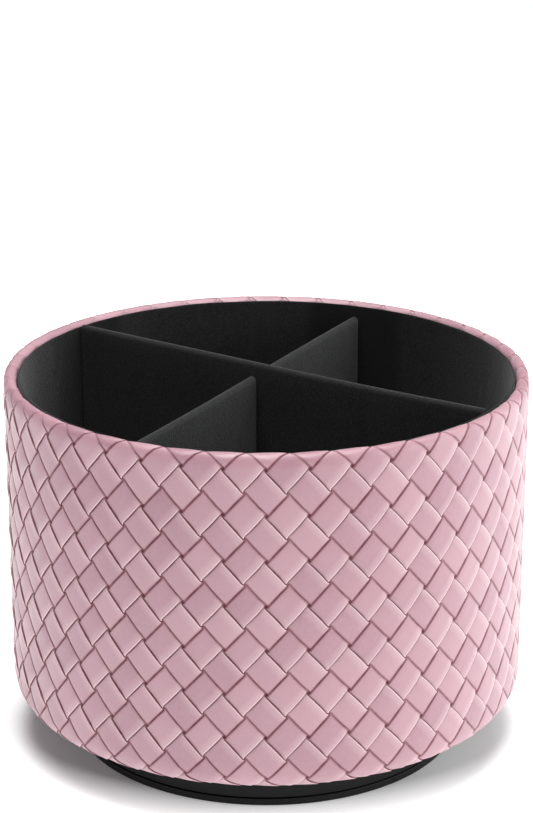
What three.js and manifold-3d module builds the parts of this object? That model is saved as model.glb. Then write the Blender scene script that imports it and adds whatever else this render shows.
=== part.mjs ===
// A rotating desk organizer: a round tub wrapped in plaited leather, lined with velvet and split
// into four compartments by two crossed panels, on a low plastic ball-bearing turntable.
// Millimetres, +Z up. The origin is on the table, on the axis that the tub turns about.
import * as THREE from 'three';
import { mergeVertices } from 'three/addons/utils/BufferGeometryUtils.js';
import Module from 'manifold-3d';

// Driving dimensions of the whole organizer
const OUTER_R = 85;
const HEIGHT = 125.4;
const TUB_BOTTOM_Z = 15.5;
const BASE_R = 64.5;
const GAP = 0.3;

// Tub wall, from the outside in
const LEATHER_T = 1.3;
const LEATHER_TURN_T = 1;
const LEATHER_EDGE_R = 8;
const TUBE_T = 2;
const FLAP_T = 0.7;
const FLAP_BOTTOM_Z = 106;
const MARGIN_INNER_R = 70;
const LINER_T = 0.8;
const RIM_CORD_R = 0.9;
const RIM_HOLLOW_H = 1.3;
const TUBE_FOOT_Z = 19;
const TUBE_FOOT_CHAMFER = 1.6;

// Tub floor, from the underside up
const UNDERSIDE_COVER_R = 76;
const UNDERSIDE_COVER_T = 0.5;
const BOARD_T = 3.2;
const BOARD_CHAMFER_R = 3.5;
const BOARD_CHAMFER_Z = 2.4;
const FLOOR_PAD_T = 1.7;

// Dividers: each panel's upright plane lies at an offset along its normal, which points at an angle
const DIVIDER_T = 3;
const DIVIDER_VELVET_T = 0.5;
const MAIN_ANGLE = THREE.MathUtils.degToRad(55.3);
const MAIN_OFFSET = 3.5;
const MAIN_TOP_Z = 124.8;
const CROSS_ANGLE = THREE.MathUtils.degToRad(-28);
const CROSS_OFFSET = -6.25;
const CROSS_TOP_Z = 120.3;
const LAP_Z = 70;

// Turntable
const SEAM_BOTTOM_Z = 3.2;
const SEAM_TOP_Z = 3.6;
const HOUSING_WALL_T = 2.4;
const HOUSING_TOP_T = 2.4;
const HOUSING_TOP_Z = 14.4;
const HUB_R = 11;
const RACE_R = 46;
const RACE_HALF_W = 6;
const BALL_R = 3;
const BALL_Z = 7.2;
const BALLS = 12;
const LOWER_RACE_Z = 5.6;
const UPPER_RACE_Z = 8.8;
const CAGE_HALF_W = 4.8;
const CAGE_BOTTOM_Z = 6.3;
const CAGE_T = 1.8;
const PLATE_RIM_Z = 0.8;
const PLATE_FIELD_Z = 1.2;
const PLATE_LIP_W = 5;
const PLATE_STEP_W = 0.4;
const PLATE_EDGE = 0.3;
const HOUSING_EDGE_R = 1.4;

// Fasteners and feet
const BOLT_SHANK_R = 2.5;
const BOLT_HEAD_R = 4.6;
const BOLT_HEAD_T = 2.4;
const BOLT_BOTTOM_Z = 1.2;
const BOLT_TOP_Z = 14.1;
const WASHER_R = 7.2;
const WASHER_T = 1;
const NUT_R = 4.6;
const NUT_T = 2.6;
const HUB_POCKET_R = 8.2;
const HUB_FLOOR_TOP_Z = 9.6;
const HUB_FLOOR_T = 2.2;
const HUB_GAP = 0.4;
const SCREW_CIRCLE_R = 28;
const SCREW_HEAD_R = 3.2;
const SCREW_HEAD_T = 1.5;
const SCREW_HEAD_TAPER = 0.7;
const SCREW_SHANK_R = 1.5;
const SCREW_TIP_Z = 19;
const SCREWS = 4;
const FOOT_R = 6;
const FOOT_T = 2;
const FOOT_CIRCLE_R = 47;
const FEET = 4;

// Round sections: sides of the tub's rings and of the turntable's
const TUB_SIDES = 60;
const TURNTABLE_SIDES = 48;
const SMALL_SIDES = 16;

// Finishes
const leather = { color: 0xbc969f, roughness: 0.45, metalness: 0 };
const velvet = { color: 0x17171a, roughness: 1, metalness: 0 };
const board = { color: 0x9a8a74, roughness: 0.9, metalness: 0 };
const foam = { color: 0xd9d6cc, roughness: 0.95, metalness: 0 };
const blackPlastic = { color: 0x1c1c1d, roughness: 0.4, metalness: 0 };
const cagePlastic = { color: 0xdfe0dc, roughness: 0.5, metalness: 0 };
const steel = { color: 0xb8bbc0, roughness: 0.3, metalness: 1 };
const rubber = { color: 0x2a2a2a, roughness: 0.9, metalness: 0 };

const wasm = await Module();
wasm.setup();

// One named piece in a group.
function addPiece(group, name, geometry, finish) {
  const piece = new THREE.Mesh(geometry, new THREE.MeshStandardMaterial(finish));
  piece.name = name;
  group.add(piece);
  return piece;
}

// Points [r, z] along a round stretch of a profile, angles in degrees from the outward direction.
function arc(centreR, centreZ, radiusR, radiusZ, fromDeg, toDeg, steps) {
  const points = [];
  for (let step = 0; step <= steps; step += 1) {
    const angle = THREE.MathUtils.degToRad(fromDeg + ((toDeg - fromDeg) * step) / steps);
    points.push([centreR + radiusR * Math.cos(angle), centreZ + radiusZ * Math.sin(angle)]);
  }
  return points;
}

// Solid of revolution about +Z. The profile runs up its outer side and down its inner side.
function revolve(profile, sides) {
  const points = profile.map(([r, z]) => new THREE.Vector2(r, z));
  if (profile[0][0] > 0) points.push(points[0].clone());
  return new THREE.LatheGeometry(points, sides).rotateX(Math.PI / 2);
}

// A plain ring or, from radius 0, a disc.
function ring(innerR, outerR, bottomZ, topZ, sides) {
  const profile = [[innerR, bottomZ], [outerR, bottomZ], [outerR, topZ], [innerR, topZ]];
  return revolve(profile, sides);
}

// Outline in the (r, z) plane turned into a panel: across along X, length along Y, up along Z.
function panel(outline, length) {
  const shape = new THREE.Shape(outline.map(([x, z]) => new THREE.Vector2(x, z)));
  const solid = new THREE.ExtrudeGeometry(shape, { depth: length, bevelEnabled: false });
  return solid.translate(0, 0, -length / 2).rotateX(Math.PI / 2);
}

function toSolid(geometry) {
  const bare = geometry.clone();
  bare.deleteAttribute('normal');
  bare.deleteAttribute('uv');
  const merged = mergeVertices(bare, 1e-3);
  const mesh = new wasm.Mesh({
    numProp: 3,
    vertProperties: merged.attributes.position.array,
    triVerts: new Uint32Array(merged.index.array),
  });
  return new wasm.Manifold(mesh);
}

function cut(geometry, cutters) {
  let solid = toSolid(geometry);
  for (const cutter of cutters) solid = solid.subtract(toSolid(cutter));
  const mesh = solid.getMesh();
  const result = new THREE.BufferGeometry();
  result.setAttribute('position', new THREE.BufferAttribute(mesh.vertProperties, 3));
  result.setIndex(new THREE.BufferAttribute(mesh.triVerts, 1));
  result.computeVertexNormals();
  return result;
}

// Places evenly round a circle, the first one half a step past +X.
function aroundCircle(count, radius) {
  return Array.from({ length: count }, (_, index) => {
    const angle = ((index + 0.5) * 2 * Math.PI) / count;
    return new THREE.Vector2(radius * Math.cos(angle), radius * Math.sin(angle));
  });
}

const screwPlaces = aroundCircle(SCREWS, SCREW_CIRCLE_R);

// Upright round cutters at a list of places.
function drills(places, radius, bottomZ, topZ) {
  return places.map((place) =>
    ring(0, radius, bottomZ, topZ, SMALL_SIDES).translate(place.x, place.y, 0));
}

// ---- Static base ----

// The lower plate: a flat disc with a raised race for the balls and a hub for the pivot bolt.
function basePlateGeometry() {
  const grooveR = BALL_R + GAP;
  const mouth = THREE.MathUtils.radToDeg(Math.asin((LOWER_RACE_Z - BALL_Z) / grooveR));
  const boreR = BOLT_SHANK_R + GAP;
  const recessR = BOLT_HEAD_R + GAP;
  const recessTopZ = BOLT_BOTTOM_Z + BOLT_HEAD_T + GAP;
  const hubTopZ = HUB_FLOOR_TOP_Z - HUB_FLOOR_T - HUB_GAP;
  const profile = [
    [recessR, recessTopZ],
    [recessR, PLATE_RIM_Z],
    [HUB_R, PLATE_RIM_Z],
    [HUB_R + PLATE_STEP_W, PLATE_FIELD_Z],
    [BASE_R - PLATE_LIP_W, PLATE_FIELD_Z],
    [BASE_R - PLATE_LIP_W + PLATE_STEP_W, PLATE_RIM_Z],
    [BASE_R - PLATE_EDGE, PLATE_RIM_Z],
    [BASE_R, PLATE_RIM_Z + PLATE_EDGE],
    [BASE_R, SEAM_BOTTOM_Z],
    [RACE_R + RACE_HALF_W, SEAM_BOTTOM_Z],
    [RACE_R + RACE_HALF_W, LOWER_RACE_Z],
    ...arc(RACE_R, BALL_Z, grooveR, grooveR, mouth, -180 - mouth, 6),
    [RACE_R - RACE_HALF_W, LOWER_RACE_Z],
    [RACE_R - RACE_HALF_W, SEAM_BOTTOM_Z],
    [HUB_R, SEAM_BOTTOM_Z],
    [HUB_R, hubTopZ],
    [boreR, hubTopZ],
    [boreR, recessTopZ],
  ];
  const footPlaces = aroundCircle(FEET, FOOT_CIRCLE_R);
  const footPockets = drills(footPlaces, FOOT_R + GAP, 0, FOOT_T + GAP);
  const driverHole = drills([screwPlaces[0]], SCREW_HEAD_R + 1, 0, SEAM_BOTTOM_Z + 1);
  return cut(revolve(profile, TURNTABLE_SIDES), [...footPockets, ...driverHole]);
}

function addBase(group) {
  addPiece(group, 'base_plate', basePlateGeometry(), blackPlastic);
  aroundCircle(FEET, FOOT_CIRCLE_R).forEach((place, index) => {
    const foot = ring(0, FOOT_R, 0, FOOT_T, SMALL_SIDES);
    addPiece(group, `foot_pad_${index + 1}`, foot, rubber).position.set(place.x, place.y, 0);
  });
  const headTopZ = BOLT_BOTTOM_Z + BOLT_HEAD_T;
  const bolt = revolve([
    [0, BOLT_BOTTOM_Z],
    [BOLT_HEAD_R, BOLT_BOTTOM_Z],
    [BOLT_HEAD_R, headTopZ],
    [BOLT_SHANK_R, headTopZ],
    [BOLT_SHANK_R, BOLT_TOP_Z],
    [0, BOLT_TOP_Z],
  ], SMALL_SIDES);
  addPiece(group, 'pivot_bolt', bolt, steel);
  const washerZ = HUB_FLOOR_TOP_Z + GAP;
  const boreR = BOLT_SHANK_R + GAP;
  const washer = ring(boreR, WASHER_R, washerZ, washerZ + WASHER_T, SMALL_SIDES * 2);
  addPiece(group, 'pivot_washer', washer, steel);
  const nutZ = washerZ + WASHER_T + GAP;
  const hexagon = ring(0, NUT_R, nutZ, nutZ + NUT_T, 6);
  const nut = cut(hexagon, drills([new THREE.Vector2()], boreR, 0, HEIGHT));
  addPiece(group, 'lock_nut', nut, steel);
}

// ---- Ball cage, which rolls round between the races at half the tub's speed ----

function addCage(group) {
  const places = aroundCircle(BALLS, RACE_R);
  const outline = new THREE.Shape();
  outline.absarc(0, 0, RACE_R + CAGE_HALF_W, 0, 2 * Math.PI);
  const inside = new THREE.Path();
  inside.absarc(0, 0, RACE_R - CAGE_HALF_W, 0, 2 * Math.PI);
  outline.holes.push(inside);
  const blank = new THREE.ExtrudeGeometry(outline, {
    depth: CAGE_T,
    curveSegments: TURNTABLE_SIDES,
    bevelEnabled: false,
  });
  const pockets = drills(places, BALL_R + GAP, CAGE_BOTTOM_Z - 1, CAGE_BOTTOM_Z + CAGE_T + 1);
  addPiece(group, 'ball_cage', cut(blank.translate(0, 0, CAGE_BOTTOM_Z), pockets), cagePlastic);
  places.forEach((place, index) => {
    const ball = addPiece(
      group,
      `ball_${String(index + 1).padStart(2, '0')}`,
      new THREE.SphereGeometry(BALL_R, 8, 6),
      steel,
    );
    ball.position.set(place.x, place.y, BALL_Z);
  });
}

// ---- Turntable's upper half, screwed under the tub ----

// A dish that opens downwards, with the upper race and a hub under its top plate.
function housingGeometry() {
  const grooveR = BALL_R + GAP;
  const mouth = THREE.MathUtils.radToDeg(Math.asin((UPPER_RACE_Z - BALL_Z) / grooveR));
  const boreR = BOLT_SHANK_R + GAP;
  const ceilingZ = HOUSING_TOP_Z - HOUSING_TOP_T;
  const profile = [
    [boreR, HUB_FLOOR_TOP_Z - HUB_FLOOR_T],
    [HUB_R, HUB_FLOOR_TOP_Z - HUB_FLOOR_T],
    [HUB_R, ceilingZ],
    [RACE_R - RACE_HALF_W, ceilingZ],
    [RACE_R - RACE_HALF_W, UPPER_RACE_Z],
    ...arc(RACE_R, BALL_Z, grooveR, grooveR, 180 - mouth, mouth, 6),
    [RACE_R + RACE_HALF_W, UPPER_RACE_Z],
    [RACE_R + RACE_HALF_W, ceilingZ],
    [BASE_R - HOUSING_WALL_T, ceilingZ],
    [BASE_R - HOUSING_WALL_T, SEAM_TOP_Z],
    [BASE_R, SEAM_TOP_Z],
    ...arc(BASE_R - HOUSING_EDGE_R, HOUSING_TOP_Z - HOUSING_EDGE_R, HOUSING_EDGE_R, HOUSING_EDGE_R,
      0, 90, 2),
    [HUB_POCKET_R, HOUSING_TOP_Z],
    [HUB_POCKET_R, HUB_FLOOR_TOP_Z],
    [boreR, HUB_FLOOR_TOP_Z],
  ];
  const holes = drills(screwPlaces, SCREW_SHANK_R + GAP, ceilingZ - 1, HOUSING_TOP_Z + 1);
  return cut(revolve(profile, TURNTABLE_SIDES), holes);
}

function addHousing(group) {
  addPiece(group, 'turntable_housing', housingGeometry(), blackPlastic);
  const headTopZ = HOUSING_TOP_Z - HOUSING_TOP_T - GAP;
  const profile = [
    [0, headTopZ - SCREW_HEAD_T],
    [SCREW_HEAD_R - SCREW_HEAD_TAPER, headTopZ - SCREW_HEAD_T],
    [SCREW_HEAD_R, headTopZ],
    [SCREW_SHANK_R, headTopZ],
    [SCREW_SHANK_R, SCREW_TIP_Z - 1],
    [0, SCREW_TIP_Z],
  ];
  screwPlaces.forEach((place, index) => {
    const screw = revolve(profile, SMALL_SIDES / 2);
    addPiece(group, `housing_screw_${index + 1}`, screw, steel).position.set(place.x, place.y, 0);
  });
}

// ---- Tub ----

const tubeOuterR = OUTER_R - LEATHER_T - GAP;
const tubeInnerR = tubeOuterR - TUBE_T;
const flapOuterR = tubeInnerR - GAP;
const flapInnerR = flapOuterR - FLAP_T;
const rollRadius = (OUTER_R - flapInnerR) / 2;
const rollR = OUTER_R - rollRadius;
const rollZ = HEIGHT - rollRadius;
const linerOuterR = flapInnerR - GAP;
const linerInnerR = linerOuterR - LINER_T;
const boardBottomZ = TUB_BOTTOM_Z + LEATHER_TURN_T + GAP;
const boardTopZ = boardBottomZ + BOARD_T;
const padBottomZ = boardTopZ + GAP;
const padTopZ = padBottomZ + FLOOR_PAD_T;
const linerTopZ = HEIGHT - LEATHER_T;

// One sheet of leather: turned under the bottom edge, up the wall, over the rim and down inside.
function leatherGeometry() {
  const bendR = OUTER_R - LEATHER_EDGE_R;
  const bendZ = TUB_BOTTOM_Z + LEATHER_EDGE_R;
  const insideR = OUTER_R - LEATHER_T;
  const turnTopZ = TUB_BOTTOM_Z + LEATHER_TURN_T;
  return revolve([
    [MARGIN_INNER_R, TUB_BOTTOM_Z],
    ...arc(bendR, bendZ, LEATHER_EDGE_R, LEATHER_EDGE_R, -90, 0, 6),
    ...arc(rollR, rollZ, rollRadius, rollRadius, 0, 180, 8),
    [flapInnerR, FLAP_BOTTOM_Z],
    [flapOuterR, FLAP_BOTTOM_Z],
    ...arc(rollR, rollZ, rollR - flapOuterR, RIM_HOLLOW_H, 180, 90, 3),
    ...arc(rollR, rollZ, insideR - rollR, RIM_HOLLOW_H, 60, 0, 2),
    ...arc(bendR, bendZ, insideR - bendR, bendZ - turnTopZ, 0, -90, 5),
    [MARGIN_INNER_R, turnTopZ],
  ], TUB_SIDES);
}

// The stiff tube, chamfered where the leather turns under it.
function tubeGeometry() {
  const tubeTopZ = rollZ - RIM_CORD_R - GAP;
  return revolve([
    [tubeInnerR, TUBE_FOOT_Z],
    [tubeOuterR - TUBE_FOOT_CHAMFER, TUBE_FOOT_Z],
    [tubeOuterR, TUBE_FOOT_Z + 2 * TUBE_FOOT_CHAMFER],
    [tubeOuterR, tubeTopZ],
    [tubeInnerR, tubeTopZ],
  ], TUB_SIDES);
}

// The stiff floor, chamfered round its underside to sit in the leather's bend.
function boardGeometry() {
  const boardR = tubeInnerR - GAP;
  const disc = revolve([
    [0, boardBottomZ],
    [boardR - BOARD_CHAMFER_R, boardBottomZ],
    [boardR, boardBottomZ + BOARD_CHAMFER_Z],
    [boardR, boardTopZ],
    [0, boardTopZ],
  ], TUB_SIDES);
  return cut(disc, drills(screwPlaces, SCREW_SHANK_R + GAP, boardBottomZ - 1, SCREW_TIP_Z + GAP));
}

function addTub(group) {
  const coverTopZ = TUB_BOTTOM_Z - GAP;
  const coverBottomZ = coverTopZ - UNDERSIDE_COVER_T;
  const coverDisc = ring(0, UNDERSIDE_COVER_R, coverBottomZ, coverTopZ, TURNTABLE_SIDES);
  const coverHoles = drills(screwPlaces, SCREW_SHANK_R + GAP, coverBottomZ - 1, coverTopZ + 1);
  const cordR = (tubeInnerR + tubeOuterR) / 2;
  const cordCircle = arc(cordR, rollZ, RIM_CORD_R, RIM_CORD_R, -90, 210, 5);
  const padDisc = ring(0, linerInnerR - GAP, padBottomZ, padTopZ, TURNTABLE_SIDES);
  addPiece(group, 'underside_cover', cut(coverDisc, coverHoles), velvet);
  addPiece(group, 'bottom_board', boardGeometry(), board);
  addPiece(group, 'shell_tube', tubeGeometry(), board);
  addPiece(group, 'rim_cord', revolve(cordCircle, TUB_SIDES), foam);
  addPiece(group, 'leather_wrap', leatherGeometry(), leather);
  const linerWall = ring(linerInnerR, linerOuterR, padBottomZ, linerTopZ, TUB_SIDES);
  addPiece(group, 'liner_wall', linerWall, velvet);
  addPiece(group, 'floor_pad', padDisc, velvet);
}

// ---- Dividers: stiff boards in folded velvet covers, lapped through each other half way up ----

const dividerBottomZ = padTopZ + GAP;

function placeOf(angle, offset) {
  const turn = new THREE.Matrix4().makeRotationZ(angle);
  return turn.multiply(new THREE.Matrix4().makeTranslation(offset, 0, 0));
}

// Length that stops a panel just short of the liner at its outer face.
function panelLength(offset) {
  const reach = linerInnerR * Math.cos(Math.PI / TUB_SIDES) - GAP;
  return 2 * Math.sqrt(reach ** 2 - (Math.abs(offset) + DIVIDER_T / 2) ** 2);
}

// Section of a panel with a half-round top, its sides a given distance from its upright plane.
function roundTopped(half, bottomZ, foldZ) {
  return [[half, bottomZ], ...arc(0, foldZ, half, half, 0, 180, 6), [-half, bottomZ]];
}

// The velvet sock over a panel's board, open underneath.
function coverGeometry(topZ, length, slot) {
  const outer = DIVIDER_T / 2;
  const inner = outer - DIVIDER_VELVET_T;
  const foldZ = topZ - outer;
  const hollowLength = length - 2 * DIVIDER_VELVET_T;
  const outside = panel(roundTopped(outer, dividerBottomZ, foldZ), length);
  const hollow = panel(roundTopped(inner, dividerBottomZ - 1, foldZ), hollowLength);
  return cut(outside, [hollow, slot]);
}

function stiffenerGeometry(topZ, length, slot) {
  const half = DIVIDER_T / 2 - DIVIDER_VELVET_T - GAP;
  const boardTop = topZ - DIVIDER_T / 2;
  const outline = [[half, dividerBottomZ], [half, boardTop], [-half, boardTop], [-half, dividerBottomZ]];
  return cut(panel(outline, length - 2 * (DIVIDER_VELVET_T + GAP)), [slot]);
}

// A slot for the other panel, from the lap height out past this panel's top or bottom.
function lapSlot(from, other, bottomZ, topZ) {
  const slot = new THREE.BoxGeometry(DIVIDER_T + 2 * GAP, 4 * DIVIDER_T, topZ - bottomZ);
  slot.translate(0, 0, (bottomZ + topZ) / 2);
  const crossing = crossingAlong(other.angle, other.offset, from.angle, from.offset);
  slot.translate(0, crossing, 0);
  const toThisPanel = placeOf(from.angle, from.offset).invert();
  return slot.applyMatrix4(toThisPanel.multiply(placeOf(other.angle, other.offset)));
}

// How far along the first panel the second one crosses it.
function crossingAlong(angle, offset, otherAngle, otherOffset) {
  const turn = otherAngle - angle;
  return (otherOffset - offset * Math.cos(turn)) / Math.sin(turn);
}

function addDivider(group, name, own, other, slotBottomZ, slotTopZ) {
  const divider = new THREE.Group();
  divider.applyMatrix4(placeOf(own.angle, own.offset));
  const length = panelLength(own.offset);
  const slot = lapSlot(own, other, slotBottomZ, slotTopZ);
  addPiece(divider, `${name}_board`, stiffenerGeometry(own.topZ, length, slot), board);
  addPiece(divider, `${name}_cover`, coverGeometry(own.topZ, length, slot), velvet);
  group.add(divider);
}

function addDividers(group) {
  const main = { angle: MAIN_ANGLE, offset: MAIN_OFFSET, topZ: MAIN_TOP_Z };
  const cross = { angle: CROSS_ANGLE, offset: CROSS_OFFSET, topZ: CROSS_TOP_Z };
  addDivider(group, 'main_divider', main, cross, 0, LAP_Z + GAP);
  addDivider(group, 'cross_divider', cross, main, LAP_Z, HEIGHT + GAP);
}

const organizer = new THREE.Group();
addBase(organizer);
addCage(organizer);
addHousing(organizer);
addTub(organizer);
addDividers(organizer);

export default organizer;
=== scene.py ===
"""Looks of a rotating desk organizer: a round tub in plaited leather with a velvet inside, on a
low black turntable. Shapes are worked out in millimetres and turned into metres as each mesh is
made. +Z is up, the tub turns about the Z axis, and the front is towards -Y."""
import math

import bmesh
import bpy
import numpy as np
from mathutils import Matrix, Vector


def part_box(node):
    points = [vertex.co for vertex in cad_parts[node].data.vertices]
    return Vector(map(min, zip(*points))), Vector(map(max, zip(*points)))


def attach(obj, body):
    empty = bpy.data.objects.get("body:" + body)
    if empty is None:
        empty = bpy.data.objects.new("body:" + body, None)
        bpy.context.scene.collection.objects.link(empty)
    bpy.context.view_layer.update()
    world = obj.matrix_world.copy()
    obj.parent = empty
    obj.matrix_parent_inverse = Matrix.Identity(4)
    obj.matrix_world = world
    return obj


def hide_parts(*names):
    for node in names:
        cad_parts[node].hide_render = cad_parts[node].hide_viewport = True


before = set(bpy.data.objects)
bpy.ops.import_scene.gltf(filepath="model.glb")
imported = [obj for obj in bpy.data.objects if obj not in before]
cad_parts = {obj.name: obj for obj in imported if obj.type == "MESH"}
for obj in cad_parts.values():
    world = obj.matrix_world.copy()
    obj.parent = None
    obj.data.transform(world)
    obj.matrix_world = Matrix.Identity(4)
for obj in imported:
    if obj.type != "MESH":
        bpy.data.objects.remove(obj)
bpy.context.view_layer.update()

MM = 0.001
TURN = 2 * math.pi


# ---------------------------------------------------------------- sizes taken from the CAD nodes

def span(node):
    """Radius, bottom and top of a round CAD node that stands on the axis, in millimetres."""
    low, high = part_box(node)
    return high.x / MM, low.z / MM, high.z / MM


def place_of(node):
    """Centre of a CAD node, in millimetres."""
    low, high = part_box(node)
    return (low + high) / 2 / MM


TUB_R, TUB_BOTTOM, TUB_TOP = span("leather_wrap")
LINER_OUTER_R, LINER_BOTTOM, LINER_TOP = span("liner_wall")
PAD_R, PAD_BOTTOM, PAD_TOP = span("floor_pad")
HOUSING_R, HOUSING_BOTTOM, HOUSING_TOP = span("turntable_housing")
PLATE_R, PLATE_BOTTOM, _ = span("base_plate")
COVER_R, COVER_BOTTOM, COVER_TOP = span("underside_cover")

LINER_THICK = 0.8
SIDES, TURNTABLE_SIDES, SMALL_SIDES, DRILL_SIDES = 240, 192, 64, 32
HARD_ANGLE = 35
CORNER_STEPS = 5


# ------------------------------------------------------------------------------- mesh building

def in_scene(name, data):
    """A new object in the scene that holds the data."""
    thing = bpy.data.objects.new(name, data)
    bpy.context.scene.collection.objects.link(thing)
    return thing


def mesh_from(name, points, faces):
    """A mesh in metres, from points in millimetres."""
    mesh = bpy.data.meshes.new(name)
    mesh.from_pydata((np.asarray(points, float) * MM).tolist(), [], faces)
    return mesh


def add_piece(name, points, faces, body, finish, slot, sharp=HARD_ANGLE):
    """A smooth-shaded mesh from points in millimetres, riding on a CAD body."""
    mesh = mesh_from(name, points, faces)
    mesh.validate()
    piece = in_scene(name, mesh)
    tidy_mesh(mesh, sharp)
    mesh.materials.append(finish)
    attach(piece, body)
    return piece


def face_outwards(mesh):
    shape = bmesh.new()
    shape.from_mesh(mesh)
    bmesh.ops.recalc_face_normals(shape, faces=shape.faces)
    shape.to_mesh(mesh)
    shape.free()


def tidy_mesh(mesh, sharp=HARD_ANGLE):
    """Faces turned outwards, smooth shading, and hard edges only where faces meet at an angle."""
    face_outwards(mesh)
    mesh.shade_smooth()
    mesh.set_sharp_from_angle(angle=math.radians(sharp))


def rounded(corners):
    """Closed outline whose corners, given as (r, z, rounding radius), are rounded by arcs."""
    outline = []
    count = len(corners)
    for index, (r, z, radius) in enumerate(corners):
        corner = np.array([r, z])
        before = np.array(corners[index - 1][:2]) - corner
        after = np.array(corners[(index + 1) % count][:2]) - corner
        if radius <= 0:
            outline.append(corner)
            continue
        before = before / np.linalg.norm(before)
        after = after / np.linalg.norm(after)
        half = math.acos(float(np.clip(before @ after, -1, 1))) / 2
        start = corner + before * radius / math.tan(half)
        end = corner + after * radius / math.tan(half)
        middle = (before + after) / np.linalg.norm(before + after)
        centre = corner + middle * radius / math.sin(half)
        for step in range(CORNER_STEPS + 1):
            share = step / CORNER_STEPS
            direction = (start - centre) * (1 - share) + (end - centre) * share
            outline.append(centre + direction / np.linalg.norm(direction) * radius)
    return outline


def arc(centre_r, centre_z, radius_r, radius_z, start, end, steps):
    """Points (r, z) along a round stretch, angles in degrees from the outward direction."""
    angles = np.radians(np.linspace(start, end, steps + 1))
    return [np.array([centre_r + radius_r * math.cos(t), centre_z + radius_z * math.sin(t)])
            for t in angles]


def revolve(outline, sides=SIDES, relief=None):
    """Points and faces of a solid of revolution. An outline point on the axis becomes a pole, and
    relief(angle, r, z) may move the ring points, giving new r and z."""
    points, rows = [], []
    angles = np.arange(sides) * TURN / sides
    for r, z in outline:
        if r < 1e-6:
            rows.append([len(points)])
            points.append((0.0, 0.0, z))
            continue
        ring_r, ring_z = np.full(sides, float(r)), np.full(sides, float(z))
        if relief:
            ring_r, ring_z = relief(angles, ring_r, ring_z)
        rows.append(list(range(len(points), len(points) + sides)))
        points.extend(zip(ring_r * np.cos(angles), ring_r * np.sin(angles), ring_z))
    faces = []
    closed = all(len(row) > 1 for row in rows)
    pairs = zip(rows, rows[1:] + rows[:1]) if closed else zip(rows, rows[1:])
    for low, high in pairs:
        faces.extend(band(low, high, sides))
    return points, faces


def band(low, high, sides):
    """Faces between two rings, or between a ring and a pole."""
    faces = []
    for k in range(sides):
        after = (k + 1) % sides
        if len(low) == 1:
            faces.append((low[0], high[after], high[k]))
        elif len(high) == 1:
            faces.append((low[k], low[after], high[0]))
        else:
            faces.append((low[k], low[after], high[after], high[k]))
    return faces


def waves(seed, count, turns, rise):
    """A gentle random unevenness round the axis: a function of angle and height, about -1 to 1."""
    draw = np.random.default_rng(seed)
    parts = [(draw.integers(1, turns + 1), draw.uniform(-rise, rise), draw.uniform(0, TURN))
             for _ in range(count)]

    def unevenness(angle, height):
        total = sum(np.sin(n * angle + k * height + phase) for n, k, phase in parts)
        return total / math.sqrt(count)

    return unevenness


# ------------------------------------------------------------------------------ node materials

class Finish:
    """A procedural material: each method adds a node and gives back its output socket."""

    def __init__(self, name, **settings):
        self.material = bpy.data.materials.new(name)
        self.material.use_nodes = True
        self.tree = self.material.node_tree
        self.shader = self.tree.nodes["Principled BSDF"]
        self.place = self.tree.nodes.new("ShaderNodeTexCoord").outputs["Object"]
        for socket, value in settings.items():
            self.shader.inputs[socket.replace("_", " ")].default_value = value

    def node(self, kind, inputs, **properties):
        node = self.tree.nodes.new(kind)
        for key, value in properties.items():
            setattr(node, key, value)
        for key, value in inputs.items():
            if isinstance(value, bpy.types.NodeSocket):
                self.tree.links.new(value, node.inputs[key])
            else:
                node.inputs[key].default_value = value
        return node

    def stretched(self, x, y, z):
        """The object's coordinates scaled differently along each axis."""
        inputs = {"Vector": self.place, "Scale": (x, y, z)}
        return self.node("ShaderNodeMapping", inputs).outputs["Vector"]

    def noise(self, scale, detail=3.0, roughness=0.5, place=None, distortion=0.0):
        inputs = {
            "Vector": place or self.place,
            "Scale": scale,
            "Detail": detail,
            "Roughness": roughness,
            "Distortion": distortion,
        }
        return self.node("ShaderNodeTexNoise", inputs).outputs["Fac"]

    def cells(self, scale, feature="F1"):
        inputs = {"Vector": self.place, "Scale": scale}
        return self.node("ShaderNodeTexVoronoi", inputs, feature=feature).outputs["Distance"]

    def attribute(self, name):
        node = self.tree.nodes.new("ShaderNodeAttribute")
        node.attribute_name = name
        return node.outputs["Fac"]

    def span(self, value, low, high, new_low, new_high):
        """value mapped from low..high to new_low..new_high, and held at the ends."""
        inputs = {
            "Value": value,
            "From Min": low,
            "From Max": high,
            "To Min": new_low,
            "To Max": new_high,
        }
        return self.node("ShaderNodeMapRange", inputs).outputs["Result"]

    def math(self, operation, first, second):
        return self.node("ShaderNodeMath", {0: first, 1: second}, operation=operation).outputs[0]

    def mix(self, share, first, second):
        """Two colours mixed. Colours are (r, g, b) tuples or sockets."""
        node = self.node("ShaderNodeMix", {}, data_type="RGBA")
        for socket, value in zip(("Factor", "A", "B"), (share, first, second)):
            target = next(s for s in node.inputs if s.name == socket and fits(s, socket))
            if isinstance(value, bpy.types.NodeSocket):
                self.tree.links.new(value, target)
            else:
                target.default_value = value if socket == "Factor" else (*value, 1.0)
        return next(s for s in node.outputs if s.type == "RGBA")

    def bump(self, height, distance, strength=1.0, under=None):
        inputs = {"Height": height, "Distance": distance * MM, "Strength": strength}
        if under:
            inputs["Normal"] = under
        return self.node("ShaderNodeBump", inputs).outputs["Normal"]

    def done(self, color, roughness=None, normal=None):
        for socket, value in (("Base Color", color), ("Roughness", roughness), ("Normal", normal)):
            if value is not None:
                self.tree.links.new(value, self.shader.inputs[socket])
        return self.material


def fits(socket, name):
    return socket.type == ("VALUE" if name == "Factor" else "RGBA")


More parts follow.
